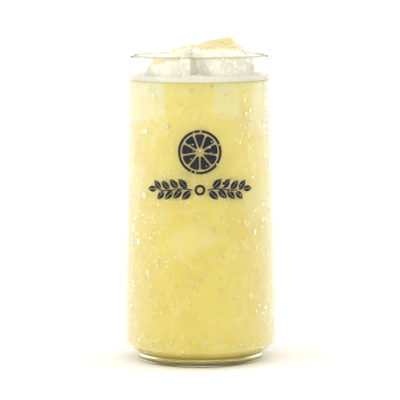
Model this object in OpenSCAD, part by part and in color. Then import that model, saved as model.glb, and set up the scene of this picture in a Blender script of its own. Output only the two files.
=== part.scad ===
// A tall glass tumbler of cloudy lemonade, served with ice.
//
// The tumbler is one turned solid: a slightly tapered wall with a rounded rim,
// a soft shoulder, and a smaller foot that is hollowed underneath. The drink
// fills the bore up to its level, a thin layer of pale froth lies on it, and
// three melting blocks of ice float in both and stand out of them.
// The origin is the middle of the foot, at the table, with +Z up.

/* [Tumbler] */
// Height from the table to the top of the rim
glass_h = 145; // [120:1:175]
// Outer diameter of the widest part of the body
body_d = 71.6; // [59:0.2:86]
// How far in the rim is from the widest part, on each side
rim_inset = 3.1; // [0:0.1:5]
// Height of the upright band between the shoulder and the taper
band_h = 7.6; // [2:0.2:16]
// Thickness of the wall
wall_t = 2; // [1.4:0.1:3]

/* [Foot] */
// How far in the foot is from the widest part, on each side
foot_inset = 6.3; // [4:0.1:9]
// Height of the foot's upright side
foot_h = 3.9; // [3:0.1:7]
// Radius that rounds the foot's side down to the table
foot_edge_r = 1.3; // [0.6:0.1:2.4]
// Width of the flat ring that the tumbler stands on
stand_w = 1.6; // [0.8:0.1:4]
// Depth of the hollow under the foot
hollow_h = 0.9; // [0.3:0.1:1.8]

/* [Shoulder] */
// Angle of the cut from the foot out to the body, above the level
shoulder_slope = 35; // [20:1:45]
// Radius that rounds the cut into the body
shoulder_r = 4; // [2:0.5:7]

/* [Bore] */
// Height of the bore's floor above the top of the foot
floor_rise = 0.9; // [0.5:0.1:6]
// Radius that rounds the floor into the wall
bore_round = 9.5; // [7:0.5:12]

/* [Drink] */
// Distance from the rim down to the top of the froth
headroom = 9.9; // [7:0.1:20]
// Thickness of the froth
froth_t = 1.3; // [0.6:0.1:4]

/* [Ice] */
// Edge of the block on the right
right_edge = 26; // [20:0.5:32]
// Edge of the block at the back
back_edge = 21; // [16:0.5:26]
// Edge of the block on the left
left_edge = 21; // [16:0.5:26]
// Radius of the melted edges and corners
melt_r = 2.2; // [1:0.1:3.5]
// Least gap between two blocks, and between a block and the wall
ice_gap = 0.5; // [0.3:0.1:2]

/* [Hidden] */

// How finely curves are stepped.
$fn = 96;
melt_fn = 20;
turn_steps = 8;
body_steps = 10;
share_steps = 4;

// How the taper eases off towards the widest part: 1 is straight.
body_bow = 1.15;

// Where each block's middle is: its direction from the axis, its distance in
// from the wall, and its height above the froth.
right_angle = -6;
right_in = 20.9;
right_lift = 3.3;
back_angle = 115;
back_in = 16.6;
back_lift = 2.9;
left_angle = 208;
left_in = 13.9;
left_lift = -1.9;

// The blocks share the bore: each keeps between two of these directions, which
// leave from one point between the blocks, and whose turn ends where it began.
share_at = [-5.2, 2.2];
right_to_back = 40;
back_to_left = 180;
left_to_right = 285;

// Middles of the melted corners of each block, in shares of its edge.
RIGHT_CORNERS = [
    [-0.33, -0.25, 0.30], [0.26, -0.27, 0.31], [0.18, 0.35, 0.48],
    [-0.44, 0.10, 0.33], [0.52, -0.08, 0.12], [0.52, -0.23, -0.42],
    [0.09, -0.39, -0.42], [0.44, 0.36, -0.38], [-0.20, 0.31, -0.42],
    [-0.23, 0.31, 0.42]
];
BACK_CORNERS = [
    [-0.29, -0.29, 0.34], [0.05, -0.34, 0.42], [0.38, 0.17, 0.45],
    [-0.12, 0.43, 0.36], [-0.38, -0.26, -0.38], [0, -0.31, -0.38],
    [0.33, 0.21, -0.38], [-0.12, 0.45, -0.38]
];
LEFT_CORNERS = [
    [-0.31, -0.12, 0.29], [0.42, -0.31, 0.40], [0.35, 0.25, 0.40],
    [-0.21, 0.26, 0.38], [-0.41, -0.07, 0], [-0.29, -0.10, -0.40],
    [0.40, -0.36, -0.40], [0.33, 0.24, -0.40], [-0.24, 0.24, -0.40]
];

// Heights and radii that follow from the sizes above.
foot_r = body_d / 2 - foot_inset;
rim_r = wall_t / 2;
floor_z = foot_h + floor_rise;
froth_z = glass_h - headroom;
drink_z = froth_z - froth_t;

// The shoulder's cut runs from the top of the foot to its rounding, whose
// centre lies level with the start of the upright band.
cut_end = body_d / 2 - shoulder_r * (1 - sin(shoulder_slope));
cut_rise = (cut_end - foot_r) * tan(shoulder_slope);
shoulder_mid = [
    body_d / 2 - shoulder_r,
    foot_h + cut_rise + shoulder_r * cos(shoulder_slope)
];
taper_z = shoulder_mid[1] + band_h;

// The body's outer radius at height z.
function body_radius(z) =
    let (up = max(0, z - taper_z) / (glass_h - taper_z))
    body_d / 2 - rim_inset * pow(up, body_bow);

// The bore's radius at height z, above its rounded bottom.
function bore_radius(z) = body_radius(z) - wall_t;

// Centre of the bore's rounded bottom edge.
bore_mid = [
    bore_radius(floor_z + bore_round) - bore_round,
    floor_z + bore_round
];

// Unit vector in direction a, in plan or in the profile.
function way(a) = [cos(a), sin(a)];

// Points of an arc from angle a to angle b, both included.
function arc(mid, r, a, b) =
    [for (i = [0:turn_steps]) mid + r * way(a + (b - a) * i / turn_steps)];

// Heights from a towards b in even steps, without b.
function climb(a, b) =
    [for (i = [0:body_steps - 1]) a + (b - a) * i / body_steps];

// The same points from last to first.
function reversed(points) = [for (i = [len(points) - 1:-1:0]) points[i]];

// The bore's outline from the middle of its floor up its wall to the drink's
// level. The glass and the drink both follow it, so they meet face to face.
bore_outline = concat(
    [[0, floor_z]],
    arc(bore_mid, bore_round, -90, 0),
    reversed([for (z = climb(drink_z, bore_mid[1])) [bore_radius(z), z]])
);

// The tumbler: its outside from the foot to the rim, the rim's bead, the bore
// and the hollow under the foot, turned as one outline.
module glass() {
    outside = concat(
        arc([foot_r - foot_edge_r, foot_edge_r], foot_edge_r, -90, 0),
        [[foot_r, foot_h]],
        arc(shoulder_mid, shoulder_r, shoulder_slope - 90, 0),
        [for (z = climb(taper_z, glass_h - rim_r)) [body_radius(z), z]]
    );
    rim_mid = [body_radius(glass_h - rim_r) - rim_r, glass_h - rim_r];
    inside = concat([[bore_radius(froth_z), froth_z]], reversed(bore_outline));
    stand_in = foot_r - foot_edge_r - stand_w;
    underside = [[0, hollow_h], [stand_in - hollow_h, hollow_h], [stand_in, 0]];
    color([0.86, 0.93, 0.92, 0.35])
        rotate_extrude()
            polygon(concat(outside, arc(rim_mid, rim_r, 0, 180), inside, underside));
}

// Everything in the bore between its rounded bottom and the drink's level.
module drink_space() {
    rotate_extrude()
        polygon(concat(bore_outline, [[0, drink_z]]));
}

// The layer of the bore between the drink's level and the top of the froth.
module froth_space() {
    rotate_extrude()
        polygon([
            [0, drink_z],
            [bore_radius(drink_z), drink_z],
            [bore_radius(froth_z), froth_z],
            [0, froth_z]
        ]);
}

// The part of the bore that one block may fill, between two directions.
module ice_share(from, to) {
    half = (to - from) / 2;
    tip = share_at + ice_gap / 2 / sin(half) * way(from + half);
    top = 2 * glass_h;
    fan = [for (i = [0:share_steps]) tip + body_d * way(from + (to - from) * i / share_steps)];
    intersection() {
        linear_extrude(top)
            polygon(concat([tip], fan));
        cylinder(h = top, r = bore_radius(glass_h) - ice_gap);
    }
}

// A melting block in its share of the bore: round corners, joined by flat faces.
module ice_block(corners, edge, angle, inward, lift, from, to) {
    out = bore_radius(froth_z) - inward;
    intersection() {
        translate([out * cos(angle), out * sin(angle), froth_z + lift])
            hull()
                for (corner = corners)
                    translate(corner * edge)
                        sphere(melt_r, $fn = melt_fn);
        ice_share(from, to);
    }
}

module ice_right() {
    color([0.93, 0.94, 0.90, 0.7])
        ice_block(RIGHT_CORNERS, right_edge, right_angle, right_in, right_lift,
            left_to_right - 360, right_to_back);
}

module ice_back() {
    color([0.95, 0.94, 0.84, 0.7])
        ice_block(BACK_CORNERS, back_edge, back_angle, back_in, back_lift,
            right_to_back, back_to_left);
}

module ice_left() {
    color([0.94, 0.94, 0.87, 0.7])
        ice_block(LEFT_CORNERS, left_edge, left_angle, left_in, left_lift,
            back_to_left, left_to_right);
}

module all_ice() {
    ice_right();
    ice_back();
    ice_left();
}

module lemonade() {
    color([0.93, 0.85, 0.48])
        difference() {
            drink_space();
            all_ice();
        }
}

module froth() {
    color([0.97, 0.95, 0.85])
        difference() {
            froth_space();
            all_ice();
        }
}

glass();
lemonade();
froth();
ice_right();
ice_back();
ice_left();
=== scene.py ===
"""A tall glass of cloudy lemonade with ice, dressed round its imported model.

The tumbler, the drink, its froth and the ice are remodelled at the places that
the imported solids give, and beads of condensation, a printed ornament and the
ice under the surface are added to them.
"""

from __future__ import annotations

import logging
import math
import random
from dataclasses import dataclass
from enum import IntEnum
from typing import Any, Sequence

import bmesh
import bpy
import numpy as np
from mathutils import Euler, Matrix, Vector, noise


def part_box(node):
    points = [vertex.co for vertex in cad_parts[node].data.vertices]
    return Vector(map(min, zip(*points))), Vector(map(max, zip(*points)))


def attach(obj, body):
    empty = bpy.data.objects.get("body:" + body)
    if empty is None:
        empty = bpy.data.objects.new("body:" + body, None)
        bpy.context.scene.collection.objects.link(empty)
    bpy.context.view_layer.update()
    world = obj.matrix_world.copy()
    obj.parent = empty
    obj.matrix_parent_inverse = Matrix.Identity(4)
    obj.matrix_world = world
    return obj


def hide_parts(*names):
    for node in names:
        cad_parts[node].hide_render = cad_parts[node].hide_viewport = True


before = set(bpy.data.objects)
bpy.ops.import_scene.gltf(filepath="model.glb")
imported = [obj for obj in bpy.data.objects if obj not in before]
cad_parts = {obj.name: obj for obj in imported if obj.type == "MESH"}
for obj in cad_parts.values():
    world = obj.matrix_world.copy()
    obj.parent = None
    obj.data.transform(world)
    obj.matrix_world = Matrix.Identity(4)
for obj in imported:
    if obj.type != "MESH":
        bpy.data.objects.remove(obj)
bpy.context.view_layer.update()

LOG = logging.getLogger("lemonade")
BODY = "root"
MM = 0.001
SHARP = math.radians(42.0)
MERGE = 1e-6
NOISE_SEED = 1
Point = tuple[float, float]
Triple = tuple[float, float, float]
Colour = Triple
Settings = dict[str, Any] | None
Sockets = dict[int | str, Any] | None
Material = bpy.types.Material
Piece = bpy.types.Object
Shape = bmesh.types.BMesh


# --------------------------------------------------------------------------
# Shader graphs
# --------------------------------------------------------------------------


class Wire:
    """A socket's output that takes part in arithmetic."""

    def __init__(self, graph: Graph, socket: bpy.types.NodeSocket) -> None:
        """Wraps an output socket of one of a graph's nodes."""
        self.graph = graph
        self.socket = socket

    def math(self, operation: str, *others: Any) -> Wire:
        """The result of a Math node that takes this value, then the others."""
        return self.graph.math(operation, self, *others)

    def __add__(self, other: Any) -> Wire:
        """Sum."""
        return self.math("ADD", other)

    def __sub__(self, other: Any) -> Wire:
        """Difference."""
        return self.math("SUBTRACT", other)

    def __rsub__(self, other: Any) -> Wire:
        """Difference with the number first."""
        return self.graph.math("SUBTRACT", other, self)

    def __mul__(self, other: Any) -> Wire:
        """Product."""
        return self.math("MULTIPLY", other)

    __radd__ = __add__
    __rmul__ = __mul__

    def capped(self, top: float = 1.0) -> Wire:
        """The same value, held at a top."""
        return self.math("MINIMUM", top)

    def band(self, low: float, high: float) -> Wire:
        """Rises smoothly from 0 at low to 1 at high."""
        inputs = {"Value": self, "From Min": low, "From Max": high}
        return self.graph.wire("ShaderNodeMapRange", {"interpolation_type": "SMOOTHSTEP"}, inputs)


class Graph:
    """The nodes of one material or world."""

    def __init__(self, owner: Material | bpy.types.World) -> None:
        """Empties the node tree of a material or world.

        Args:
            owner: The material or world.
        """
        owner.use_nodes = True
        self.owner = owner
        self.tree = owner.node_tree
        self.tree.nodes.clear()

    @classmethod
    def named(cls, name: str) -> Graph:
        """The empty graph of a new material."""
        return cls(bpy.data.materials.new(name))

    def node(self, kind: str, settings: Settings = None, inputs: Sockets = None) -> bpy.types.Node:
        """Adds a node, sets it up, then fills its sockets.

        Args:
            kind: The node's type.
            settings: The node's properties.
            inputs: A value or wire for each socket, by name or place.

        Returns:
            The node.
        """
        made = self.tree.nodes.new(kind)
        for name, value in (settings or {}).items():
            setattr(made, name, value)
        for key, value in (inputs or {}).items():
            socket = made.inputs[key]
            if isinstance(value, Wire):
                self.tree.links.new(value.socket, socket)
            else:
                socket.default_value = value
        return made

    def wire(
        self, kind: str, settings: Settings = None, inputs: Sockets = None, output: int | str = 0
    ) -> Wire:
        """Adds a node in the same way and gives one of its outputs, by name or place."""
        return Wire(self, self.node(kind, settings, inputs).outputs[output])

    def math(self, operation: str, *values: Any) -> Wire:
        """The result of a Math node on wires and numbers."""
        return self.wire("ShaderNodeMath", {"operation": operation}, dict(enumerate(values)))

    def place(self, scale: Triple = (1.0, 1.0, 1.0), turn: Triple = (0.0, 0.0, 0.0)) -> Wire:
        """Object coordinates, turned and then stretched for each axis."""
        spot = self.wire("ShaderNodeTexCoord", output="Object")
        return self.wire("ShaderNodeMapping", {}, {"Vector": spot, "Rotation": turn, "Scale": scale})

    def grain(self, spot: Wire, scale: float, detail: float = 4.0, warp: float = 0.0) -> Wire:
        """Smooth noise from 0 to 1, with so many blotches to a metre, in finer layers and swirled."""
        inputs = {"Vector": spot, "Scale": scale, "Detail": detail, "Distortion": warp}
        return self.wire("ShaderNodeTexNoise", {}, inputs)

    def cells(self, spot: Wire, scale: float) -> Wire:
        """Distance to the middles of scattered cells, so many to a metre."""
        return self.wire("ShaderNodeTexVoronoi", {}, {"Vector": spot, "Scale": scale}, "Distance")

    def attribute(self, name: str) -> Wire:
        """A value that the mesh holds for each vertex."""
        return self.wire("ShaderNodeAttribute", {"attribute_name": name}, output="Fac")

    def upward(self, vector: Wire) -> Wire:
        """The Z part of a place or a direction."""
        return self.wire("ShaderNodeSeparateXYZ", {}, {"Vector": vector}, "Z")

    def blend(self, share: Any, first: Any, second: Any) -> Wire:
        """Mixes two colours by the share of the second."""
        first, second = (c if isinstance(c, Wire) else (*c, 1.0) for c in (first, second))
        return self.wire("ShaderNodeMix", {"data_type": "RGBA"}, {0: share, 6: first, 7: second}, 2)

    def bump(self, height: Wire, depth: float, strength: float) -> Wire:
        """Turns a height from 0 to 1, so many metres deep, into a surface direction."""
        return self.wire("ShaderNodeBump", {}, {"Height": height, "Distance": depth, "Strength": strength})

    def principled(self, inputs: Sockets) -> Wire:
        """The main surface shader."""
        return self.wire("ShaderNodeBsdfPrincipled", {}, inputs)

    def clear(self, tint: Any, roughness: Wire, ior: float, more: Sockets = None) -> Wire:
        """The shader of a clear body that bends light.

        Args:
            tint: Its colour, or a wire of colours.
            roughness: Its roughness.
            ior: How much it bends light.
            more: Further sockets, or other values for these.

        Returns:
            The shader.
        """
        colour = tint if isinstance(tint, Wire) else (*tint, 1.0)
        inputs = {"Base Color": colour, "Roughness": roughness, "IOR": ior, "Transmission Weight": 1.0}
        return self.principled(inputs | (more or {}))

    def milky(self, colour: Wire, weight: float, spread: Triple, depth: float, more: Sockets) -> Wire:
        """The shader of a cloudy body that light soaks into.

        Args:
            colour: Its colour.
            weight: The share of the light that soaks in.
            spread: How far red, green and blue travel, as shares of the depth.
            depth: How far light travels, in metres.
            more: The further sockets.

        Returns:
            The shader.
        """
        soak = {"Subsurface Weight": weight, "Subsurface Radius": spread, "Subsurface Scale": depth}
        return self.principled({"Base Color": colour} | soak | more)

    def finish(self, surface: Wire) -> Material:
        """Sends a shader to the output and gives the finished material."""
        self.node("ShaderNodeOutputMaterial", {}, {"Surface": surface})
        return self.owner


# --------------------------------------------------------------------------
# Finishes
# --------------------------------------------------------------------------


@dataclass(frozen=True)
class ClearGlass:
    """Clear soda glass, with a few smears."""

    name: str = "clear_glass"
    tint: Colour = (0.955, 0.95, 0.91)
    ior: float = 1.5
    smear: float = 0.06

    def make(self) -> Material:
        """Builds the material."""
        g = Graph.named(self.name)
        smears = g.grain(g.place((1.0, 1.0, 0.5)), 90.0, warp=0.8).band(0.55, 0.85)
        return g.finish(g.clear(self.tint, smears * self.smear, self.ior))


@dataclass(frozen=True)
class MistedGlass:
    """The same glass where the cold drink mists it."""

    tint: Colour = (0.985, 0.995, 0.99)
    ior: float = 1.5
    mist: float = 0.2
    sheen: float = 0.8
    sheen_spread: float = 0.6
    speck_depth: float = 0.04 * MM

    def make(self) -> Material:
        """Builds the material of the chilled wall."""
        g = Graph.named("misted_glass")
        spot = g.place()
        patches = g.grain(spot, 55.0, detail=3.0, warp=0.4).band(0.25, 0.75) * 0.6 + 0.4
        specks = g.cells(spot, 1500.0).band(0.0, 0.55)
        veil = {
            "Sheen Weight": self.sheen,
            "Sheen Roughness": self.sheen_spread,
            "Normal": g.bump(1.0 - specks, self.speck_depth, 0.5),
        }
        return g.finish(g.clear(self.tint, patches * self.mist, self.ior, veil))


@dataclass(frozen=True)
class CloudyDrink:
    """Cloudy lemonade: pale yellow, with soft milky swirls.

    Attributes:
        deep: The darkest swirls.
        mid: The other swirls.
        pale: The milky wisps, and the drink towards its top.
        near_ice: The drink in front of ice under the surface.
        ghost: The attribute that says how much of that ice shows.
        pale_from: The height where the drink starts to turn paler.
        pale_to: The height where it stops.
    """

    deep: Colour = (0.88, 0.725, 0.08)
    mid: Colour = (0.94, 0.79, 0.12)
    pale: Colour = (0.955, 0.86, 0.34)
    near_ice: Colour = (0.96, 0.91, 0.60)
    ghost: str = "ghost"
    pale_from: float = 60 * MM
    pale_to: float = 140 * MM

    def make(self) -> Material:
        """Builds the material."""
        g = Graph.named("cloudy_lemonade")
        swirls = g.grain(g.place((1.0, 1.0, 0.6)), 42.0, warp=1.6).band(0.32, 0.68)
        wisps = g.grain(g.place((1.0, 1.0, 0.8)), 95.0, detail=5.0, warp=2.8).band(0.5, 0.74)
        height = g.upward(g.place()).band(self.pale_from, self.pale_to)
        colour = g.blend(swirls, self.deep, self.mid)
        colour = g.blend((wisps * 0.65 + height * 0.3).capped(), colour, self.pale)
        veil = g.grain(g.place(), 150.0, warp=1.0) * 0.6 + 0.5
        colour = g.blend((g.attribute(self.ghost) * veil).capped(), colour, self.near_ice)
        return g.finish(g.milky(colour, 0.6, (1.0, 0.9, 0.4), 9 * MM, {"Roughness": 0.35, "IOR": 1.35}))


@dataclass(frozen=True)
class PaleFroth:
    """Fine froth: off-white, pitted with bubbles, with painted shade in the creases between them."""

    light: Colour = (0.98, 0.96, 0.86)
    shade: Colour = (0.96, 0.92, 0.72)
    pit_depth: float = 0.25 * MM
    skin_light: Colour = (0.99, 0.98, 0.91)
    skin_shade: Colour = (0.98, 0.95, 0.80)
    skin_ior: float = 1.2
    skin_clear: float = 0.15

    def make(self) -> Material:
        """Builds the material."""
        g = Graph.named("pale_froth")
        spot = g.place()
        pits = g.cells(spot, 900.0)
        # The grain varies the tone at random; the pits paint shade into the creases between bubbles.
        tone = g.grain(spot, 160.0).band(0.45, 0.8) * 0.6 + pits.band(0.2, 0.75) * 0.25
        colour = g.blend(tone, self.light, self.shade)
        more = {"Roughness": 0.4, "Normal": g.bump(1.0 - pits, self.pit_depth, 0.6)}
        return g.finish(g.milky(colour, 0.3, (1.0, 0.95, 0.7), 1.5 * MM, more))

    def make_bubbles(self) -> Material:
        """Builds the material of single bubbles: thin wet skins."""
        g = Graph.named("froth_bubbles")
        fleck = g.grain(g.place(), 700.0, detail=2.0)
        colour = g.blend(fleck, self.skin_light, self.skin_shade)
        more = {"Transmission Weight": self.skin_clear}
        return g.finish(g.clear(colour, fleck * 0.1 + 0.04, self.skin_ior, more))


@dataclass(frozen=True)
class WetIce:
    """Melting ice: hazy and wet, with white scratches, a painted gold light on its top faces and a painted
    white highlight on its edges.

    Attributes:
        tint: The clear ice.
        painted_top_gold: The hazy ice on faces that point up: painted gold light, the drink's yellow as if
            seen through the top.
        frost: The hazy ice elsewhere.
        white: Its scratches, and the white highlight painted on its edges.
        ior: How much the clear ice bends light.
        haze: The least share of the hazy ice.
        haze_most: The greatest share.
        edge: The attribute that says how near an edge is, where the highlight is painted.
        ripple_depth: How deep the wet face ripples.
        crack_depth: How rough the cracks are.
    """

    tint: Colour = (1.0, 0.97, 0.85)
    # Painted light: a gold colour for faces that point up, standing for the drink's yellow seen through
    # the top.
    painted_top_gold: Colour = (0.81, 0.69, 0.32)
    frost: Colour = (1.0, 0.935, 0.79)
    white: Colour = (1.0, 0.99, 0.95)
    ior: float = 1.31
    haze: float = 0.68
    haze_most: float = 0.92
    edge: str = "edge"
    ripple_depth: float = 0.5 * MM
    crack_depth: float = 0.2 * MM

    def make(self) -> Material:
        """Builds the material of the blocks."""
        g = Graph.named("wet_ice")
        spot = g.place()
        normal = g.bump(g.grain(spot, 160.0, detail=2.0, warp=0.3), self.ripple_depth, 0.35)
        slanted = g.place((1.0, 0.18, 1.0), (0.5, 0.7, 0.3))
        scratches = g.grain(slanted, 700.0, detail=3.0, warp=0.3).band(0.5, 0.64)
        patches = g.grain(spot, 60.0, detail=3.0, warp=0.6).band(0.36, 0.64)
        edge = g.attribute(self.edge)
        level = g.upward(g.wire("ShaderNodeNewGeometry", output="Normal"))
        # Faces that point up take the painted gold light, broken up by noise.
        painted_top_streaks = g.grain(g.place((1.0, 1.0, 2.0)), 210.0, warp=1.2)
        up = (level + (painted_top_streaks - 0.5) * 0.9).band(0.1, 0.9) * (painted_top_streaks.band(0.2, 0.5) * 0.35 + 0.65)
        clear = g.clear(self.tint, patches * 0.2 + 0.03, self.ior, {"Normal": normal})
        body = g.blend(up, self.frost, self.painted_top_gold)
        # Scratches whiten the ice; near the edges a white highlight is painted, and the ice there is
        # hazier.
        body = g.blend((scratches * (0.5 - up * 0.4) + edge).capped(), body, self.white)
        share = (patches * 0.3 + scratches * 0.2 + edge * 0.5 + self.haze).capped(self.haze_most)
        hazy = self.frosted(g, body, normal)
        return g.finish(g.wire("ShaderNodeMixShader", {}, {0: share, 1: clear, 2: hazy}))

    def make_cracks(self) -> Material:
        """Builds the material of cracks and bubbles inside the blocks."""
        g = Graph.named("ice_cracks")
        ripple = g.bump(g.grain(g.place(), 600.0, detail=3.0), self.crack_depth, 0.5)
        fleck = g.grain(g.place(), 800.0, detail=3.0)
        return g.finish(self.frosted(g, g.blend(fleck, self.frost, self.white), ripple))

    def frosted(self, g: Graph, colour: Wire, normal: Wire) -> Wire:
        """The shader of hazy ice in a colour, with a surface direction."""
        return g.milky(colour, 0.85, (1.0, 1.0, 0.9), 5 * MM, {"Roughness": 0.35, "Normal": normal})


@dataclass(frozen=True)
class ClearWater:
    """Beads of water.

    Attributes:
        tint: The larger beads, darkened and yellowed as painted shade for their outlines.
        ior: Less than water's own, chosen to keep the beads light.
        mist_light: The finest beads, which only look pale: a painted pale sparkle, yellowed like the drink
            behind them.
        mist_shade: The darker of them.
        mist_clear: How clear they are.
    """

    # Painted shade: a darker yellow tint that outlines the larger beads.
    tint: Colour = (0.94, 0.92, 0.80)
    ior: float = 1.24
    # Painted highlight: the finest beads are coloured as pale sparkles over the drink.
    mist_light: Colour = (0.97, 0.90, 0.48)
    mist_shade: Colour = (0.96, 0.88, 0.40)
    mist_clear: float = 0.55

    def make(self) -> Material:
        """Builds the material of the larger beads."""
        g = Graph.named("clear_water")
        ripple = g.grain(g.place(), 900.0, detail=2.0).band(0.3, 0.9)
        return g.finish(g.clear(self.tint, ripple * 0.06 + 0.04, self.ior))

    def make_mist(self) -> Material:
        """Builds the material of the finest beads."""
        g = Graph.named("mist_water")
        fleck = g.grain(g.place(), 500.0, detail=2.0)
        colour = g.blend(fleck, self.mist_light, self.mist_shade)
        more = {"Transmission Weight": self.mist_clear}
        return g.finish(g.clear(colour, fleck * 0.2 + 0.3, self.ior, more))


@dataclass(frozen=True)
class Enamel:
    """Dark printed enamel with a faint orange peel."""

    dark: Colour = (0.006, 0.008, 0.013)
    worn: Colour = (0.016, 0.019, 0.027)
    peel_depth: float = 0.03 * MM

    def make(self) -> Material:
        """Builds the material."""
        g = Graph.named("dark_enamel")
        spot = g.place()
        cloud = g.grain(spot, 260.0)
        inputs = {
            "Base Color": g.blend(cloud.band(0.4, 0.8), self.dark, self.worn),
            "Roughness": cloud * 0.15 + 0.45,
            "Specular IOR Level": 0.2,
            "Normal": g.bump(g.grain(spot, 2500.0, detail=2.0), self.peel_depth, 0.3),
        }
        return g.finish(g.principled(inputs))


@dataclass(frozen=True)
class StudioWhite:
    """The floor's matt white."""

    white: Colour = (0.995, 0.975, 0.945)
    fade: float = 0.985

    def make(self) -> Material:
        """Builds the material."""
        g = Graph.named("studio_white")
        fleck = g.grain(g.place(), 30.0, detail=3.0)
        tone = g.blend(fleck * 0.3, self.white, tuple(c * self.fade for c in self.white))
        return g.finish(g.principled({"Base Color": tone, "Roughness": 0.9, "Specular IOR Level": 0.1}))


# --------------------------------------------------------------------------
# Mesh helpers
# --------------------------------------------------------------------------


def arc(mid: Point, radius: float, start: float, stop: float, steps: int) -> list[Point]:
    """Points of an arc from one angle to another in degrees, both ends included."""
    turns = [math.radians(a) for a in climb(start, stop, steps)]
    return [(mid[0] + radius * math.cos(a), mid[1] + radius * math.sin(a)) for a in turns]


def climb(low: float, high: float, steps: int) -> list[float]:
    """Even steps from low to high, both included."""
    return [low + (high - low) * i / steps for i in range(steps + 1)]


def close_up(bm: Shape) -> None:
    """Merges doubled corners and turns every face outwards."""
    bmesh.ops.remove_doubles(bm, verts=bm.verts[:], dist=MERGE)
    bmesh.ops.recalc_face_normals(bm, faces=bm.faces[:])


def spun(outline: Sequence[Point], segments: int) -> Shape:
    """Turns an outline about the Z axis into a closed surface.

    Args:
        outline: Radius and height of each point, from axis to axis.
        segments: How many faces go round.

    Returns:
        The surface, with its faces outwards.
    """
    bm = bmesh.new()
    verts = [bm.verts.new((r, 0.0, z)) for r, z in outline]
    edges = [bm.edges.new(pair) for pair in zip(verts, verts[1:])]
    bmesh.ops.spin(
        bm,
        geom=verts + edges,
        cent=(0.0, 0.0, 0.0),
        axis=(0.0, 0.0, 1.0),
        angle=math.tau,
        steps=segments,
        use_merge=True,
    )
    close_up(bm)
    return bm


def slice_at(bm: Shape, spot: Sequence[float], way: Sequence[float], clear: bool = False) -> None:
    """Cuts a mesh along the plane at a spot, and clears what lies behind it if told to."""
    everything = bm.verts[:] + bm.edges[:] + bm.faces[:]
    bmesh.ops.bisect_plane(bm, geom=everything, plane_co=spot, plane_no=way, clear_inner=clear)


def linked(name: str, data: bpy.types.ID) -> Piece:
    """Makes an object of a mesh, lamp or camera and puts it in the scene.

    Args:
        name: The object's name.
        data: What it shows.

    Returns:
        The object, at the origin.
    """
    piece = bpy.data.objects.new(name, data)
    bpy.context.scene.collection.objects.link(piece)
    return piece


def smooth(mesh: bpy.types.Mesh) -> None:
    """Shades a mesh smooth up to its sharp edges."""
    mesh.shade_smooth()
    mesh.set_sharp_from_angle(angle=SHARP)


def to_object(bm: Shape, name: str, material: Material) -> Piece:
    """Makes an object of a mesh, smooth and dressed.

    Args:
        bm: The mesh, which is freed.
        name: The piece's name.
        material: Its material.

    Returns:
        The object, at the origin.
    """
    mesh = bpy.data.meshes.new(name)
    bm.to_mesh(mesh)
    bm.free()
    smooth(mesh)
    mesh.materials.append(material)
    return linked(name, mesh)


def settle(piece: Piece) -> None:
    """Applies a piece's modifiers to its mesh.

    Args:
        piece: The piece.
    """
    depsgraph = bpy.context.evaluated_depsgraph_get()
    mesh = bpy.data.meshes.new_from_object(piece.evaluated_get(depsgraph))
    old = piece.data
    piece.modifiers.clear()
    piece.data = mesh
    bpy.data.meshes.remove(old)
    mesh.name = piece.name
    smooth(mesh)


def carve(piece: Piece, cutters: Sequence[Piece]) -> None:
    """Cuts other solids out of a piece.

    Args:
        piece: The piece.
        cutters: The solids.
    """
    for cutter in cutters:
        cut = piece.modifiers.new("cut", "BOOLEAN")
        cut.operation = "DIFFERENCE"
        cut.solver = "EXACT"
        cut.object = cutter
    settle(piece)


def note(piece: Piece, name: str, values: Sequence[float]) -> None:
    """Writes one value for each vertex into a piece's mesh."""
    piece.data.attributes.new(name, "FLOAT", "POINT").data.foreach_set("value", values)


def sized(spot: Sequence[float], size: float, squash: float = 1.0) -> Matrix:
    """Puts a unit shape at a spot in a size, pressed flatter."""
    return Matrix.Translation(spot) @ Matrix.Diagonal((size, size, size * squash, 1.0))


def scattered(seed: Shape, places: Sequence[Matrix], name: str, material: Material) -> Piece:
    """Joins many copies of one small shape into a piece.

    Args:
        seed: The shape, which is freed.
        places: Where each copy goes.
        name: The piece's name.
        material: Its material.

    Returns:
        The piece.
    """
    seed.verts.ensure_lookup_table()
    corners = np.array([(*v.co, 1.0) for v in seed.verts])
    faces = [[v.index for v in face.verts] for face in seed.faces]
    seed.free()
    spots = np.concatenate([corners @ np.array(place).T for place in places])[:, :3]
    count = len(corners)
    joined = [[i + count * k for i in face] for k in range(len(places)) for face in faces]
    mesh = bpy.data.meshes.new(name)
    mesh.from_pydata(spots.tolist(), [], joined)
    mesh.shade_smooth()
    mesh.materials.append(material)
    return linked(name, mesh)


def mount(piece: Piece, slot: str, *nodes: str) -> None:
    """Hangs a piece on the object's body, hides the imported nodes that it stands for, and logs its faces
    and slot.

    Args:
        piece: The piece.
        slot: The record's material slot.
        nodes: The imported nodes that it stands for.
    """
    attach(piece, BODY)
    if nodes:
        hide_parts(*nodes)
    LOG.info("%s: %d faces, slot %s", piece.name, len(piece.data.polygons), slot)


# --------------------------------------------------------------------------
# The tumbler
# --------------------------------------------------------------------------


class Glass(IntEnum):
    """The tumbler's kinds of glass, in the order of its materials."""

    CLEAR = 0
    MISTED = 1
    RIM = 2
    FOOT = 3


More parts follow.
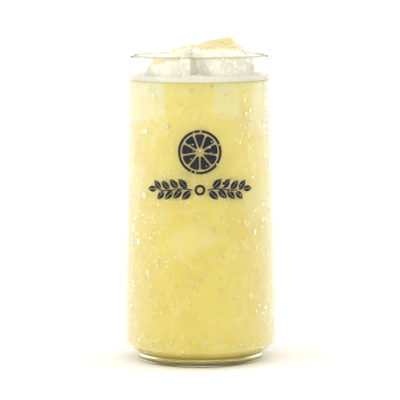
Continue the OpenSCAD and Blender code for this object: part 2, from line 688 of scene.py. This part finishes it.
@dataclass
class Tumbler:
    """The turned glass, with the sizes that everything else fits."""

    height: float
    body_r: float
    rim_inset: float = 3.1 * MM
    band: float = 7.6 * MM
    wall: float = 2.0 * MM
    foot_inset: float = 6.3 * MM
    foot_h: float = 3.9 * MM
    foot_edge: float = 1.3 * MM
    foot_fillet: float = 0.35 * MM
    stand: float = 1.6 * MM
    hollow: float = 0.9 * MM
    slope: float = 35.0
    shoulder_r: float = 4.0 * MM
    floor_rise: float = 0.9 * MM
    bore_round: float = 9.5 * MM
    bow: float = 1.15
    segments: int = 192

    @property
    def foot_r(self) -> float:
        """Radius of the foot."""
        return self.body_r - self.foot_inset

    @property
    def floor_z(self) -> float:
        """Height of the bore's floor."""
        return self.foot_h + self.floor_rise

    @property
    def shoulder_mid(self) -> Point:
        """Centre of the shoulder's rounding.

        Returns:
            Its radius and height.
        """
        slope = math.radians(self.slope)
        end = self.body_r - self.shoulder_r * (1.0 - math.sin(slope))
        rise = (end - self.foot_r) * math.tan(slope)
        return self.body_r - self.shoulder_r, self.foot_h + rise + self.shoulder_r * math.cos(slope)

    def radius(self, z: float) -> float:
        """Outer radius of the body at a height.

        Args:
            z: The height.

        Returns:
            The radius.
        """
        start = self.shoulder_mid[1] + self.band
        up = max(0.0, z - start) / (self.height - start)
        return self.body_r - self.rim_inset * up**self.bow

    def bore(self, z: float) -> float:
        """Radius of the bore at a height above its rounded floor."""
        return self.radius(z) - self.wall

    def bore_line(self, top: float, bite: float = 0.0, steps: int = 40) -> list[Point]:
        """The bore's outline from the middle of its floor up to a height.

        Args:
            top: The height where it ends.
            bite: How far it lies inside the glass.
            steps: How many chords the straight stretch has.

        Returns:
            Its points.
        """
        mid_z = self.floor_z + self.bore_round
        mid = (self.bore(mid_z) - self.bore_round, mid_z)
        flat = [(r, self.floor_z - bite) for r in climb(0.0, mid[0], 6)[:-1]]
        turn = arc(mid, self.bore_round + bite, -90.0, 0.0, 20)
        wall = [(self.bore(z) + bite, z) for z in climb(mid_z, top, steps)[1:]]
        return flat + turn + wall

    def outline(self) -> list[Point]:
        """The whole profile, from under the foot round to the bore's floor.

        Returns:
            Its points.
        """
        stand_in = self.foot_r - self.foot_edge - self.stand
        dome = [(stand_in * s, self.hollow * (1.0 - s**6)) for s in climb(0.0, 1.0, 10)[:-1]]
        foot = arc((self.foot_r - self.foot_edge, self.foot_edge), self.foot_edge, -90.0, 0.0, 10)
        fillet_mid = (self.foot_r + self.foot_fillet, self.foot_h - self.foot_fillet)
        fillet = arc(fillet_mid, self.foot_fillet, 180.0, 90.0 + self.slope, 5)
        shoulder = arc(self.shoulder_mid, self.shoulder_r, self.slope - 90.0, 0.0, 12)
        bead = self.wall / 2
        rim_z = self.height - bead
        body = [(self.radius(z), z) for z in climb(shoulder[-1][1], rim_z, 48)[1:-1]]
        rim = arc((self.radius(rim_z) - bead, rim_z), bead, 0.0, 180.0, 20)
        inside = self.bore_line(rim_z)[:-1]
        return dome + [(stand_in, 0.0)] + foot + fillet + shoulder + body + rim + inside[::-1]

    def on_skin(self, angle: float, z: float, proud: float = 0.0) -> Vector:
        """A point on the outside.

        Args:
            angle: Degrees from the front, to the right.
            z: The height.
            proud: How far out of the glass it lies.

        Returns:
            The point.
        """
        turn = math.radians(angle)
        r = self.radius(z) + proud
        return Vector((r * math.sin(turn), -r * math.cos(turn), z))

    def glass_at(self, spot: Vector, level: float) -> Glass:
        """Which glass a face is made of.

        Args:
            spot: The face's middle.
            level: How high the drink stands.

        Returns:
            The kind of glass.
        """
        outside = spot.to_2d().length > self.radius(spot.z) - self.wall / 2
        if spot.z > self.height - self.wall / 2:
            return Glass.RIM
        if spot.z < self.foot_h:
            return Glass.FOOT
        return Glass.MISTED if outside and spot.z < level else Glass.CLEAR

    def build(self, glasses: dict[Glass, Material], level: float) -> None:
        """Makes the tumbler in place of its node.

        Args:
            glasses: A material for each kind of glass.
            level: How high the drink stands.
        """
        piece = to_object(spun(self.outline(), self.segments), "tumbler", glasses[Glass.CLEAR])
        for kind in (Glass.MISTED, Glass.RIM, Glass.FOOT):
            piece.data.materials.append(glasses[kind])
        for face in piece.data.polygons:
            face.material_index = self.glass_at(face.center, level)
        mount(piece, "glass", "glass")


# --------------------------------------------------------------------------
# The ice
# --------------------------------------------------------------------------


@dataclass
class IceBlock:
    """One block that stands out of the drink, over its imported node."""

    node: str
    seed: int
    voxel: float = 0.5 * MM
    wander: float = 0.16 * MM
    melt: float = 0.25
    cracks: int = 2
    bubbles: int = 40
    edge_reach: float = 1.6 * MM
    edge_from: float = 0.02
    edge_span: float = 0.10
    crack_spread: float = 0.16
    crack_thick: float = 0.06 * MM

    def rough_copy(self) -> Piece:
        """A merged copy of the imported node, to be shaped or to cut with.

        Returns:
            The copy, which rides on nothing.
        """
        bm = bmesh.new()
        bm.from_mesh(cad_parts[self.node].data)
        close_up(bm)
        mesh = bpy.data.meshes.new(self.node + "_copy")
        bm.to_mesh(mesh)
        bm.free()
        return linked(self.node + "_copy", mesh)

    def build(self, material: Material) -> None:
        """Makes the melted, uneven block in place of its node.

        Args:
            material: The ice.
        """
        piece = self.rough_copy()
        piece.name = self.node + "_block"
        remesh = piece.modifiers.new("remesh", "REMESH")
        remesh.mode = "VOXEL"
        remesh.voxel_size = self.voxel
        settle(piece)
        bm = bmesh.new()
        bm.from_mesh(piece.data)
        edges = self.painted_edge_highlight(bm)
        bmesh.ops.smooth_vert(
            bm, verts=bm.verts[:], factor=0.5, use_axis_x=True, use_axis_y=True, use_axis_z=True
        )
        bm.normal_update()
        shift = Vector((self.seed * 7.3, self.seed * 3.1, 0.0))
        for vert in bm.verts:
            broad = noise.noise(vert.co * 95.0 + shift)
            fine = noise.noise(vert.co * 380.0 + shift)
            vert.co += vert.normal * self.wander * (broad - self.melt + fine * 0.35)
        bm.to_mesh(piece.data)
        bm.free()
        piece.data.shade_smooth()
        piece.data.materials.clear()
        piece.data.materials.append(material)
        # The nearness to edges paints a white highlight on the bevels.
        note(piece, WetIce.edge, edges)
        mount(piece, "ice", self.node)

    def painted_edge_highlight(self, bm: Shape) -> list[float]:
        """How near each corner of the mesh lies to one of the block's edges, which says where the ice's
        white highlight is painted.

        Args:
            bm: The block's mesh, before it is smoothed.

        Returns:
            A value from 0 to 1 for each vertex.
        """
        bm.normal_update()
        bm.verts.ensure_lookup_table()
        normals = np.array([v.normal[:] for v in bm.verts])
        pairs = np.array([[v.index for v in e.verts] for e in bm.edges])
        for _ in range(max(2, round(self.edge_reach / self.voxel))):
            total = normals.copy()
            np.add.at(total, pairs[:, 0], normals[pairs[:, 1]])
            np.add.at(total, pairs[:, 1], normals[pairs[:, 0]])
            count = np.bincount(pairs.ravel(), minlength=len(normals)) + 1.0
            normals = total / count[:, None]
        spread = 1.0 - np.linalg.norm(normals, axis=1)
        return np.clip((spread - self.edge_from) / self.edge_span, 0.0, 1.0).tolist()

    def crack_sheets(self, material: Material) -> None:
        """Makes thin wavy cracks and small bubbles shut in the block.

        Args:
            material: Their finish.
        """
        rng = random.Random(100 + self.seed)
        low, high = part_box(self.node)
        mid = (low + high) / 2
        size = high - low
        bm = bmesh.new()
        for _ in range(self.cracks):
            away = [rng.uniform(-self.crack_spread, self.crack_spread) * side for side in size.xy]
            turn = Euler((rng.uniform(0.6, 2.4), rng.uniform(-0.6, 0.6), rng.uniform(0.0, 3.1)))
            reach = min(size) * rng.uniform(0.16, 0.28)
            place = Matrix.Translation(mid + Vector((*away, 0.0))) @ turn.to_matrix().to_4x4()
            made = bmesh.ops.create_circle(bm, cap_ends=True, segments=9, radius=reach, matrix=place)
            for vert in made["verts"]:
                vert.co += noise.noise_vector(vert.co * 300.0) * reach * 0.45
        bmesh.ops.solidify(bm, geom=bm.faces[:], thickness=self.crack_thick)
        for _ in range(self.bubbles):
            place = Matrix.Translation(mid + Vector([rng.gauss(0.0, 0.12) * side for side in size]))
            radius = rng.uniform(0.08, 0.22) * MM
            bmesh.ops.create_icosphere(bm, subdivisions=1, radius=radius, matrix=place)
        bmesh.ops.recalc_face_normals(bm, faces=bm.faces[:])
        mount(to_object(bm, self.node + "_cracks", material), "ice")


@dataclass(frozen=True)
class SunkBlock:
    """A block under the surface that leans on the wall and pales the drink there.

    Attributes:
        angle: Degrees from the front, to the right.
        z: The height of its middle.
        half_w: Half its width along the wall.
        half_h: Half its height.
        tilt: How far it leans, in degrees.
        pale: How much of it shows.
        corner: How round its corners are.
        fade: How far its outline fades inwards.
        rim: The share of it that shows only as a pale rim.
        waver: How far its outline wanders.
    """

    angle: float
    z: float
    half_w: float
    half_h: float
    tilt: float
    pale: float
    corner: float = 4.5 * MM
    fade: float = 3.4 * MM
    rim: float = 0.2
    waver: float = 1.4 * MM

    def shows(self, spot: Vector) -> float:
        """How much of the block shows at a place on the wall.

        Args:
            spot: The place.

        Returns:
            A value from 0 to 1.
        """
        turn = math.remainder(math.atan2(spot.x, -spot.y) - math.radians(self.angle), math.tau)
        wobble = noise.noise_vector(spot * 90.0) * self.waver
        across = Vector((turn * spot.to_2d().length + wobble.x, spot.z - self.z + wobble.y))
        across.rotate(Matrix.Rotation(math.radians(self.tilt), 2))
        past = Vector((abs(across.x) - self.half_w, abs(across.y) - self.half_h))
        past += Vector((self.corner, self.corner))
        outside = Vector((max(past.x, 0.0), max(past.y, 0.0))).length
        depth = self.corner - outside - min(max(past.x, past.y), 0.0)
        inner = min(1.0, max(0.0, depth / self.fade))
        edge = max(0.0, 1.0 - abs(depth - self.fade) / self.fade)
        return self.pale * (inner * inner * (3.0 - 2.0 * inner) * (1.0 - self.rim) + self.rim * edge)


# --------------------------------------------------------------------------
# The drink and its froth
# --------------------------------------------------------------------------


@dataclass
class Lemonade:
    """The drink up to its level, with the ice cut out of it."""

    tumbler: Tumbler
    level: float
    bite: float = 0.15 * MM
    sunk: tuple[SunkBlock, ...] = (
        SunkBlock(23.0, 125 * MM, 8.0 * MM, 9 * MM, 6.0, 0.62),
        SunkBlock(-52.0, 124 * MM, 14.0 * MM, 11 * MM, -10.0, 0.85),
        SunkBlock(62.0, 120 * MM, 9.0 * MM, 12 * MM, 14.0, 0.7),
        SunkBlock(-6.0, 61 * MM, 12.0 * MM, 8 * MM, -26.0, 0.3),
        SunkBlock(-66.0, 84 * MM, 9.0 * MM, 12 * MM, 15.0, 0.4),
        SunkBlock(54.0, 76 * MM, 10.0 * MM, 11 * MM, -18.0, 0.3),
        SunkBlock(128.0, 118 * MM, 12.0 * MM, 12 * MM, -18.0, 0.7),
        SunkBlock(-150.0, 106 * MM, 12.0 * MM, 13 * MM, 25.0, 0.6),
        SunkBlock(168.0, 70 * MM, 11.0 * MM, 10 * MM, 12.0, 0.35),
    )

    def build(self, material: Material, cutters: Sequence[Piece]) -> None:
        """Makes the drink in place of its node.

        Args:
            material: The drink's material.
            cutters: The blocks of ice to cut out.
        """
        line = self.tumbler.bore_line(self.level, self.bite, 110)
        top = [(line[-1][0] * i / 12, self.level) for i in range(11, -1, -1)]
        piece = to_object(spun(line + top, 200), "drink", material)
        carve(piece, cutters)
        shown = [max(block.shows(vert.co) for block in self.sunk) for vert in piece.data.vertices]
        note(piece, CloudyDrink.ghost, shown)
        mount(piece, "lemonade", "lemonade")


@dataclass
class Froth:
    """The thin pale head on the drink, drawn up a little at the wall."""

    tumbler: Tumbler
    level: float
    top: float
    bite: float = 0.18 * MM
    creep: float = 0.7 * MM
    cling: float = 0.32 * MM
    under: float = 0.25 * MM
    still: float = 0.3 * MM
    creep_from: float = 0.93

    def build(self, material: Material, cutters: Sequence[Piece]) -> None:
        """Makes the froth in place of its node.

        Args:
            material: The froth's material.
            cutters: The blocks of ice to cut out.
        """
        wall = self.tumbler.bore(self.level) + self.bite
        under = [(wall * i / 10, self.level - self.under) for i in range(10)]
        foot = (wall, self.level - self.cling)
        side = [foot, (self.tumbler.bore(self.top) + self.bite, self.top + self.creep)]
        inner = self.tumbler.bore(self.top)
        reach = [i / 60 for i in range(59, -1, -1)]
        drawn = [max(0.0, (s - self.creep_from) / (1.0 - self.creep_from)) ** 2 for s in reach]
        over = [(inner * s, self.top + self.creep * up) for s, up in zip(reach, drawn)]
        bm = spun(under + side + over, 160)
        for vert in bm.verts:
            if vert.co.z > self.level + self.still:
                swell = noise.noise(vert.co * 260.0) * 0.35 + noise.noise(vert.co * 900.0) * 0.2
                vert.co.z += swell * MM
        bm.normal_update()
        piece = to_object(bm, "froth_head", material)
        carve(piece, cutters)
        mount(piece, "froth", "froth")


@dataclass
class FrothBubbles:
    """Bubbles along the wall, round the ice and over the froth."""

    tumbler: Tumbler
    top: float
    at_wall: int = 420
    at_ice: int = 260
    loose: int = 420
    margin: float = 1.0 * MM

    def build(self, material: Material, blocks: Sequence[IceBlock]) -> None:
        """Makes the bubbles.

        Args:
            material: Their material.
            blocks: The ice that they gather round.
        """
        rng = random.Random(7)
        inner = self.tumbler.bore(self.top)
        boxes = [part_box(block.node) for block in blocks]
        places = []
        for _ in range(self.at_wall):
            places.append(self.place(rng, inner - rng.uniform(0.2, 1.6) * MM, 0.25, 0.75))
        for _ in range(self.loose):
            places.append(self.place(rng, inner * math.sqrt(rng.random()) - self.margin, 0.15, 0.5))
        for low, high in boxes:
            for _ in range(self.at_ice // len(boxes)):
                x = rng.uniform(low.x, high.x)
                y = rng.uniform(low.y, high.y)
                if math.hypot(x, y) < inner - self.margin:
                    places.append(sized((x, y, self.top), rng.uniform(0.2, 0.6) * MM))
        seed = bmesh.new()
        bmesh.ops.create_uvsphere(seed, u_segments=10, v_segments=6, radius=1.0)
        mount(scattered(seed, places, "froth_bubbles", material), "froth")

    def place(self, rng: random.Random, r: float, small: float, large: float) -> Matrix:
        """Puts a bubble somewhere on a circle.

        Args:
            rng: The source of chance.
            r: The circle's radius.
            small: The smallest bubble's radius, in millimetres.
            large: The largest bubble's radius, in millimetres.

        Returns:
            The bubble's matrix.
        """
        turn = rng.uniform(0.0, math.tau)
        size = (small + (large - small) * rng.random() ** 2) * MM
        return sized((r * math.cos(turn), r * math.sin(turn), self.top + size * 0.25), size, 0.8)


# --------------------------------------------------------------------------
# Condensation
# --------------------------------------------------------------------------


@dataclass(frozen=True)
class BeadKind:
    """One size of bead on the chilled glass.

    Attributes:
        name: The piece's name.
        count: How many there are.
        small: Half the width of the smallest.
        large: Half the width of the largest.
        hang: How much longer than wide the longest is.
        rings: How many rows of faces stand up.
        sides: How many faces go round.
        misty: Whether it takes the fine beads' finish.
    """

    name: str
    count: int
    small: float
    large: float
    hang: float
    rings: int
    sides: int
    misty: bool = False


@dataclass
class Condensation:
    """Beads of water on the outside of the tumbler."""

    tumbler: Tumbler
    low: float = 6.5 * MM
    high: float = 133 * MM
    kinds: tuple[BeadKind, ...] = (
        BeadKind("mist_beads", 5500, 0.12 * MM, 0.26 * MM, 1.0, 1, 7, misty=True),
        BeadKind("small_beads", 1500, 0.28 * MM, 0.55 * MM, 1.15, 2, 8, misty=True),
        BeadKind("round_beads", 260, 0.55 * MM, 0.85 * MM, 1.2, 3, 12),
        BeadKind("large_beads", 60, 0.95 * MM, 1.35 * MM, 1.35, 5, 18),
    )

    def bead(self, kind: BeadKind) -> Shape:
        """The upper half of a ball of unit radius, shut behind.

        Args:
            kind: How finely it is made.

        Returns:
            The drop, with its base a little behind the glass's skin.
        """
        bm = bmesh.new()
        bmesh.ops.create_uvsphere(bm, u_segments=kind.sides, v_segments=kind.rings * 2, radius=1.0)
        slice_at(bm, (0.0, 0.0, -0.05), (0.0, 0.0, 1.0), clear=True)
        rim = [edge for edge in bm.edges if edge.is_boundary]
        bmesh.ops.contextual_create(bm, geom=rim)
        bmesh.ops.recalc_face_normals(bm, faces=bm.faces[:])
        return bm

    def build(self, clear: Material, misty: Material) -> None:
        """Scatters every kind of bead, one piece for each.

        Args:
            clear: The larger beads' material.
            misty: The finer beads' material.
        """
        rng = random.Random(41)
        for kind in self.kinds:
            places = [self.place(rng, kind) for _ in range(kind.count)]
            mount(scattered(self.bead(kind), places, kind.name, misty if kind.misty else clear), "dew")

    def place(self, rng: random.Random, kind: BeadKind) -> Matrix:
        """Where and how large one bead is.

        Args:
            rng: The source of chance.
            kind: The bead's kind.

        Returns:
            The matrix that puts the unit bead on the glass.
        """
        angle = rng.uniform(-180.0, 180.0)
        z = rng.uniform(self.low, self.high)
        size = kind.small + (kind.large - kind.small) * rng.random() ** 2
        bulge = size * rng.uniform(0.24, 0.38)
        hang = rng.uniform(1.0, kind.hang)
        spot = self.tumbler.on_skin(angle, z)
        turn = math.radians(angle)
        out = Vector((math.sin(turn), -math.cos(turn), 0.0))
        side = Vector((math.cos(turn), math.sin(turn), 0.0))
        up = out.cross(side) * -1.0
        axes = Matrix((side * size, up * size * hang, out * bulge)).transposed()
        return Matrix.Translation(spot) @ axes.to_4x4()


# --------------------------------------------------------------------------
# The printed ornament
# --------------------------------------------------------------------------


@dataclass
class Ornament:
    """A citrus wheel over a sprig of leaves, in thin enamel on the wall."""

    tumbler: Tumbler
    wheel_z: float = 101.5 * MM
    wheel_r: float = 10.2 * MM
    rind: float = 1.15 * MM
    pith: float = 0.75 * MM
    segments: int = 9
    tip_round: float = 0.5 * MM
    corner_round: float = 0.9 * MM
    sprig_z: float = 84 * MM
    sprig_half: float = 25 * MM
    stem: float = 0.55 * MM
    bud_r: float = 2.5 * MM
    leaf_long: float = 5.8 * MM
    leaf_wide: float = 2.9 * MM
    leaf_pairs: int = 4
    leaf_lean: float = 46.0
    leaf_rib: float = 0.16 * MM
    stem_sway: float = 0.5 * MM
    thick: float = 0.09 * MM
    sunk: float = 0.04 * MM
    strip: float = 1.2 * MM

    def build(self, material: Material) -> None:
        """Makes the wheel and the sprig."""
        self.wrap(self.wheel(), "printed_wheel", material)
        self.wrap(self.sprig(), "printed_sprig", material)

    def plate(self, bm: Shape, outline: Sequence[Point], mid: Point, turn: float = 0.0) -> None:
        """Adds a flat face.

        Args:
            bm: The mesh to add to.
            outline: Its corners.
            mid: Where its origin goes.
            turn: How far it is turned, in degrees.
        """
        verts = [bm.verts.new((x, y, 0.0)) for x, y in outline]
        bm.faces.new(verts)
        place = Matrix.Translation((*mid, 0.0)) @ Matrix.Rotation(math.radians(turn), 4, "Z")
        bmesh.ops.transform(bm, matrix=place, verts=verts)

    def ring(self, bm: Shape, mid: Point, outer: float, inner: float) -> None:
        """Adds a flat ring.

        Args:
            bm: The mesh to add to.
            mid: Its centre.
            outer: Its outer radius.
            inner: Its inner radius.
        """
        place = Matrix.Translation((*mid, 0.0))
        rims = [bmesh.ops.create_circle(bm, segments=72, radius=r, matrix=place) for r in (outer, inner)]
        edges = {edge for rim in rims for vert in rim["verts"] for edge in vert.link_edges}
        bmesh.ops.bridge_loops(bm, edges=list(edges))

    def wheel(self) -> Shape:
        """The rind and the segments of a cut fruit.

        Returns:
            The flat print.
        """
        bm = bmesh.new()
        mid = (0.0, self.wheel_z)
        self.ring(bm, mid, self.wheel_r, self.wheel_r - self.rind)
        reach = self.wheel_r - self.rind - self.pith
        half = math.pi / self.segments
        start = self.pith / 2 / math.sin(half)
        tip = self.tip_round
        corner = self.corner_round
        tip_mid = start + tip / math.sin(half)
        far = math.sqrt((reach - corner) ** 2 - (self.pith / 2 + corner) ** 2)
        side = half - math.atan2(self.pith / 2 + corner, far)
        spot = ((reach - corner) * math.cos(side), (reach - corner) * math.sin(side))
        low = math.degrees(half)
        outline = arc((tip_mid, 0.0), tip, 90.0 + low, 270.0 - low, 6)
        outline += arc((spot[0], -spot[1]), corner, -90.0 - low, -math.degrees(side), 6)
        outline += arc((0.0, 0.0), reach, -math.degrees(side), math.degrees(side), 8)[1:-1]
        outline += arc(spot, corner, math.degrees(side), 90.0 + low, 6)
        for number in range(self.segments):
            self.plate(bm, outline, mid, 90.0 + 360.0 * number / self.segments)
        return bm

    def leaf(self, bm: Shape, root: Point, turn: float, long: float) -> None:
        """Adds a pointed leaf in two halves, with its rib left bare.

        Args:
            bm: The mesh to add to.
            root: Where it leaves the stem.
            turn: Its direction, in degrees.
            long: Its length.
        """
        wide = self.leaf_wide * long / self.leaf_long
        rib = self.leaf_rib
        swell = [(long * s, wide / 2 * math.sin(math.pi * s**0.85)) for s in climb(0.0, 1.0, 10)]
        for side in (1.0, -1.0):
            edge = [(x, side * (rib + y)) for x, y in swell]
            outline = edge + [(long * 0.97, side * rib * 0.6), (0.0, side * rib * 0.6)]
            self.plate(bm, outline if side < 0 else outline[::-1], root, turn)

    def sprig(self) -> Shape:
        """A bud between two stems with leaves.

        Returns:
            The flat print.
        """
        bm = bmesh.new()
        mid_z = self.sprig_z
        self.ring(bm, (0.0, mid_z), self.bud_r, self.bud_r * 0.55)
        start = self.bud_r + 1.0 * MM
        run = self.sprig_half - start - self.leaf_long * 0.7
        for side in (1.0, -1.0):
            spine = [(side * (start + run * s), self.sway(s)) for s in climb(0.0, 1.0, 24)]
            upper = [(x, mid_z + y + self.stem / 2) for x, y in spine]
            lower = [(x, mid_z + y - self.stem / 2) for x, y in spine]
            outline = upper[::-1] + lower
            self.plate(bm, outline if side > 0 else outline[::-1], (0.0, 0.0))
            for number in range(self.leaf_pairs):
                along = (number + 0.35) / self.leaf_pairs
                long = self.leaf_long * (1.0 - 0.12 * number / self.leaf_pairs)
                for up in (1.0, -1.0):
                    spot = along + (0.06 if up > 0 else -0.04)
                    root = (side * (start + run * spot), mid_z + self.sway(spot) + up * self.stem * 0.9)
                    lean = up * self.leaf_lean
                    self.leaf(bm, root, lean if side > 0 else 180.0 - lean, long)
            tip = (side * (start + run + 0.5 * MM), mid_z + self.sway(1.0))
            self.leaf(bm, tip, 0.0 if side > 0 else 180.0, self.leaf_long * 0.9)
        return bm

    def sway(self, along: float) -> float:
        """How far the stem rises at a share of its length."""
        return self.stem_sway * math.sin(math.tau * along)

    def wrap(self, bm: Shape, name: str, material: Material) -> None:
        """Gives the flat print its thickness and lays it round the wall.

        Args:
            bm: The flat print, which is freed.
            name: The piece's name.
            material: The enamel.
        """
        bmesh.ops.recalc_face_normals(bm, faces=bm.faces[:])
        for face in bm.faces:
            if face.normal.z < 0.0:
                face.normal_flip()
        bmesh.ops.solidify(bm, geom=bm.faces[:], thickness=self.thick)
        reach = int(self.sprig_half / self.strip) + 1
        for number in range(-reach, reach + 1):
            slice_at(bm, (number * self.strip, 0.0, 0.0), (1.0, 0.0, 0.0))
        low = min(v.co.z for v in bm.verts)
        for vert in bm.verts:
            proud = vert.co.z - low - self.sunk
            turn = math.degrees(vert.co.x / self.tumbler.radius(vert.co.y))
            vert.co = self.tumbler.on_skin(turn, vert.co.y, proud)
        bmesh.ops.triangulate(bm, faces=[f for f in bm.faces if len(f.verts) > 4])
        bmesh.ops.recalc_face_normals(bm, faces=bm.faces[:])
        piece = to_object(bm, name, material)
        piece.data.shade_flat()
        mount(piece, "print")


# --------------------------------------------------------------------------
# The stage
# --------------------------------------------------------------------------


@dataclass(frozen=True)
class Glow:
    """A soft patch of the studio's walls that is brighter, or darker, than the rest.

    Attributes:
        towards: Where it lies.
        strength: How much light it adds.
        tightness: How small it is.
    """

    towards: Triple
    strength: float
    tightness: float


@dataclass(frozen=True)
class Glint:
    """A small lamp that only shows as a spark on wet and polished surfaces.

    Attributes:
        name: Its name.
        at: Where it hangs.
        size: How wide it is.
        power: Its power, in watts.
    """

    name: str
    at: Triple
    size: float
    power: float


@dataclass
class Stage:
    """Floor, soft studio light and camera."""

    floor_r: float = 14.0
    distance: float = 1.1314
    eye: float = 0.19456
    pitch: float = 5.99
    roll: float = -0.275
    lens: float = 215.25
    sensor: float = 36.0
    room: float = 1.34
    darkest: float = 0.05
    backdrop: float = 1.1
    aim: Triple = (0.0, 0.0, 0.08)
    glows: tuple[Glow, ...] = (
        Glow((-0.98, -0.05, 0.12), 2.0, 6.0),
        Glow((0.90, 0.42, 0.12), 1.6, 6.0),
        Glow((0.0, 0.0, 1.0), -0.8, 3.0),
        Glow((0.0, -0.98, 0.08), 0.65, 3.0),
        Glow((-0.42, 0.90, 0.05), -1.8, 40.0),
        Glow((0.42, 0.90, 0.05), -1.8, 40.0),
        Glow((0.0, 0.88, 0.48), -1.0, 30.0),
    )
    glints: tuple[Glint, ...] = (
        Glint("glint_left", (-0.55, -0.75, 0.95), 0.16, 3.0),
        Glint("glint_right", (0.60, -0.60, 0.80), 0.12, 1.5),
    )

    def floor(self, material: Material) -> None:
        """Lays a plain white floor.

        Args:
            material: Its finish.
        """
        bm = bmesh.new()
        bmesh.ops.create_circle(bm, cap_ends=True, segments=96, radius=self.floor_r)
        to_object(bm, "floor", material)

    def spark(self, glint: Glint) -> None:
        """Hangs one small lamp that lights nothing but reflections.

        Args:
            glint: The lamp's sizes.
        """
        light = bpy.data.lights.new(glint.name, "AREA")
        light.shape = "DISK"
        light.size = glint.size
        light.energy = glint.power
        lamp = linked(glint.name, light)
        lamp.location = glint.at
        way = Vector(self.aim) - Vector(glint.at)
        lamp.rotation_euler = way.to_track_quat("-Z", "Y").to_euler()
        lamp.visible_diffuse = False
        lamp.visible_transmission = False

    def room_light(self) -> None:
        """Lights the studio by its walls: a soft room with brighter patches."""
        world = bpy.data.worlds.new("studio")
        g = Graph(world)
        way = g.wire("ShaderNodeTexCoord", output="Generated")
        light = self.room
        for glow in self.glows:
            sides = {0: way, 1: Vector(glow.towards).normalized()}
            facing = g.wire("ShaderNodeVectorMath", {"operation": "DOT_PRODUCT"}, sides, "Value")
            light = facing.math("MAXIMUM", 0.0).math("POWER", glow.tightness) * glow.strength + light
        seen = g.wire("ShaderNodeLightPath", output="Is Camera Ray")
        strength = light.math("MAXIMUM", self.darkest) * (1.0 - seen) + seen * self.backdrop
        shine = g.wire("ShaderNodeBackground", {}, {"Color": (1.0, 1.0, 1.0, 1.0), "Strength": strength})
        g.node("ShaderNodeOutputWorld", {}, {"Surface": shine})
        bpy.context.scene.world = world

    def camera(self) -> None:
        """A long lens, a little above the glass."""
        lens = bpy.data.cameras.new("camera")
        lens.lens = self.lens
        lens.sensor_width = self.sensor
        lens.clip_end = 50.0
        eye = linked("camera", lens)
        eye.location = (0.0, -self.distance, self.eye)
        tilt = Euler((math.radians(90.0 - self.pitch), 0.0, 0.0)).to_matrix()
        turn = Matrix.Rotation(math.radians(self.roll), 3, "Z")
        eye.rotation_euler = (tilt @ turn).to_euler()
        bpy.context.scene.camera = eye

    def build(self) -> None:
        """Sets the stage."""
        self.floor(StudioWhite().make())
        self.room_light()
        for glint in self.glints:
            self.spark(glint)
        self.camera()
        scene = bpy.context.scene
        scene.view_settings.view_transform = "Standard"
        scene.cycles.max_bounces = 24
        scene.cycles.transmission_bounces = 20
        scene.cycles.glossy_bounces = 16


def main() -> None:
    """Builds the glass of lemonade and its stage."""
    logging.basicConfig(level=logging.INFO, format="%(name)s %(message)s")
    # Unseeded, noise_vector takes its offsets from the clock.
    noise.seed_set(NOISE_SEED)
    low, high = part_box("glass")
    tumbler = Tumbler(height=high.z, body_r=high.x)
    blocks = [IceBlock("ice_right", 1), IceBlock("ice_back", 2), IceBlock("ice_left", 3)]
    cutters = [block.rough_copy() for block in blocks]
    froth_low, froth_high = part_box("froth")
    finishes = {
        Glass.CLEAR: ClearGlass(),
        Glass.MISTED: MistedGlass(),
        # The rim's and the foot's glass are tinted dark and yellow: painted shade and painted yellow light
        # of the drink, for their lines.
        Glass.RIM: ClearGlass("rim_glass_painted_shade", (0.74, 0.71, 0.52)),
        Glass.FOOT: ClearGlass("foot_glass_painted_shade", (0.86, 0.84, 0.68)),
    }
    tumbler.build({kind: finish.make() for kind, finish in finishes.items()}, froth_low.z)
    froth = PaleFroth()
    Lemonade(tumbler, froth_low.z).build(CloudyDrink().make(), cutters)
    Froth(tumbler, froth_low.z, froth_high.z).build(froth.make(), cutters)
    FrothBubbles(tumbler, froth_high.z).build(froth.make_bubbles(), blocks)
    for cutter in cutters:
        bpy.data.objects.remove(cutter)
    ice = WetIce()
    ice_material = ice.make()
    crack_material = ice.make_cracks()
    for block in blocks:
        block.build(ice_material)
        block.crack_sheets(crack_material)
    Ornament(tumbler).build(Enamel().make())
    water = ClearWater()
    Condensation(tumbler).build(water.make(), water.make_mist())
    Stage().build()


if __name__ == "__main__":
    main()
